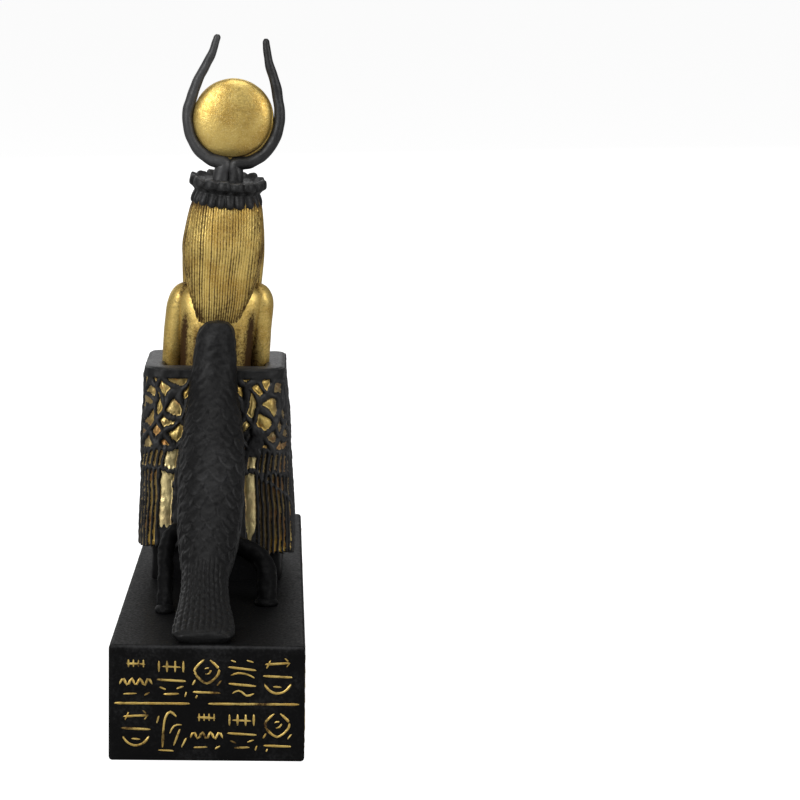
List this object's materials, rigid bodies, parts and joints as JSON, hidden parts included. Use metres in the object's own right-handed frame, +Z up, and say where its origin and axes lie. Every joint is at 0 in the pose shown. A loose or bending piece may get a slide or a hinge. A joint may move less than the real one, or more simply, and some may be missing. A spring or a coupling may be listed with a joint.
{
  "type": "seated goddess statue on a falcon throne",
  "caption": "Small cast resin statue of a seated goddess with horned disc crown, on a winged falcon throne with a long inscribed base.",
  "frame": {"origin": "middle of the underside of the base", "axes": "+Z up, the figure faces -Y, the base is longest along Y and narrow along X"},
  "size_m": [0.0408, 0.1404, 0.1463],
  "materials": {
    "black_finish": "satin black paint on cast resin",
    "gold_paint": "metallic gold paint with a brown wash",
    "feathered_finish": "black ribs with worn gold between them"
  },
  "bodies": {
    "root": {"isis_statue": "black_finish"}
  },
  "joints": []
}
